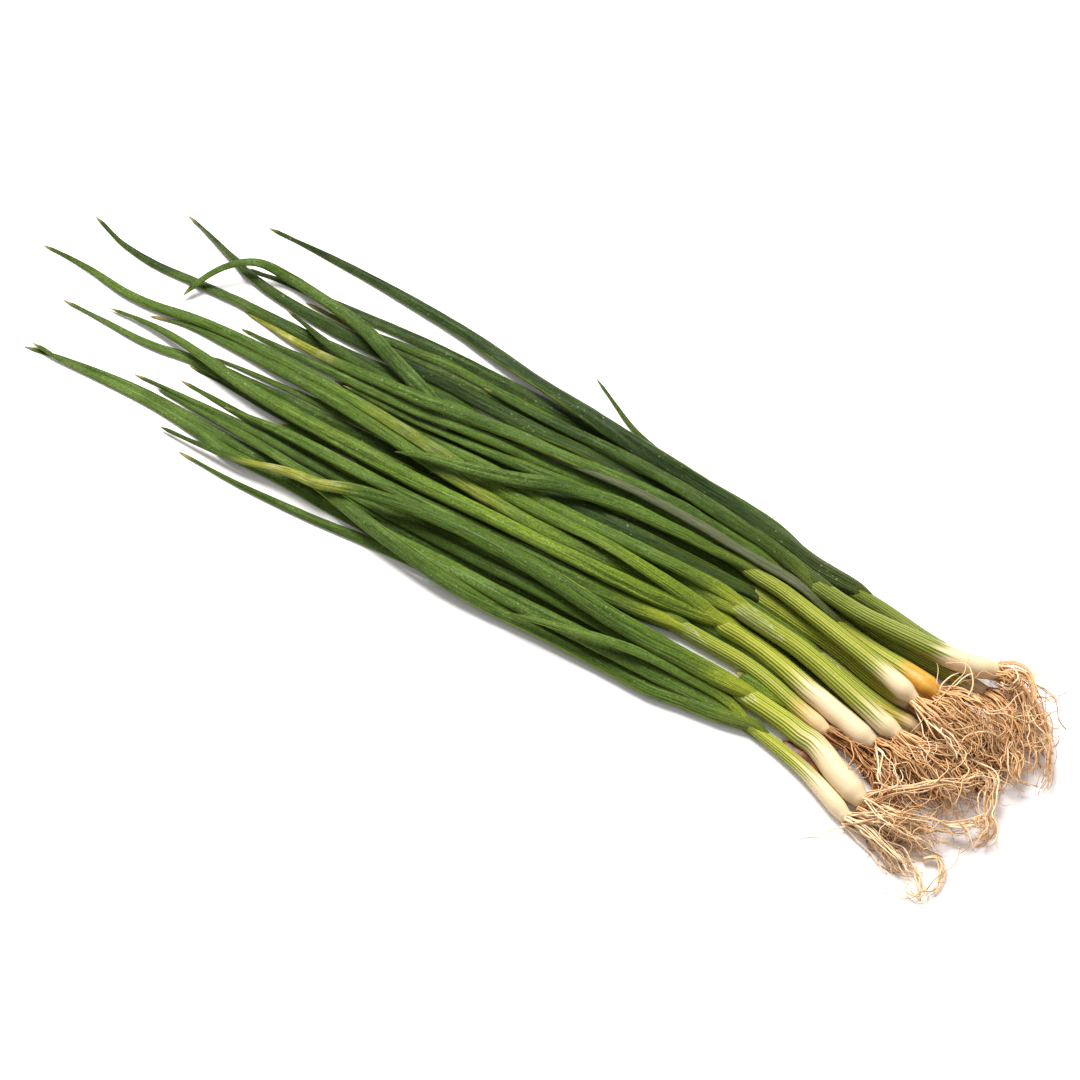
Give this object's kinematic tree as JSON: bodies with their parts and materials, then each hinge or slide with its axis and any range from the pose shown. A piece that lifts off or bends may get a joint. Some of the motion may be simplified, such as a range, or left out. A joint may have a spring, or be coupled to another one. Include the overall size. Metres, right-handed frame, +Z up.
{
  "type": "spring onion bunch",
  "caption": "Loose bunch of spring onions lying on its side: pale bulbs with matted straw roots at one end, long thin green leaves tapering to the other.",
  "frame": {"origin": "centre of the bunch's box, on the surface that it lies on", "axes": "+X along the bunch towards the roots, +Z up"},
  "size_m": [0.4726, 0.1356, 0.0154],
  "materials": {
    "leaf": "waxy satin, cream at the bulb turning yellow-green and then mid green",
    "root": "dry matt fibres",
    "scale": "shiny dried skin"
  },
  "bodies": {
    "root": {"onion_01": "leaf", "onion_02": "leaf", "onion_03": "leaf", "onion_04": "leaf", "onion_05": "leaf", "onion_06": "leaf", "onion_07": "leaf", "onion_08": "leaf", "onion_09": "leaf", "onion_10": "leaf", "onion_11": "leaf", "onion_12": "leaf", "roots_01": "root", "roots_02": "root", "roots_03": "root", "roots_04": "root", "roots_05": "root", "roots_06": "root", "roots_07": "root", "roots_08": "root", "roots_09": "root", "roots_10": "root", "roots_11": "root", "roots_12": "root", "dried_scale": "scale"}
  },
  "joints": []
}
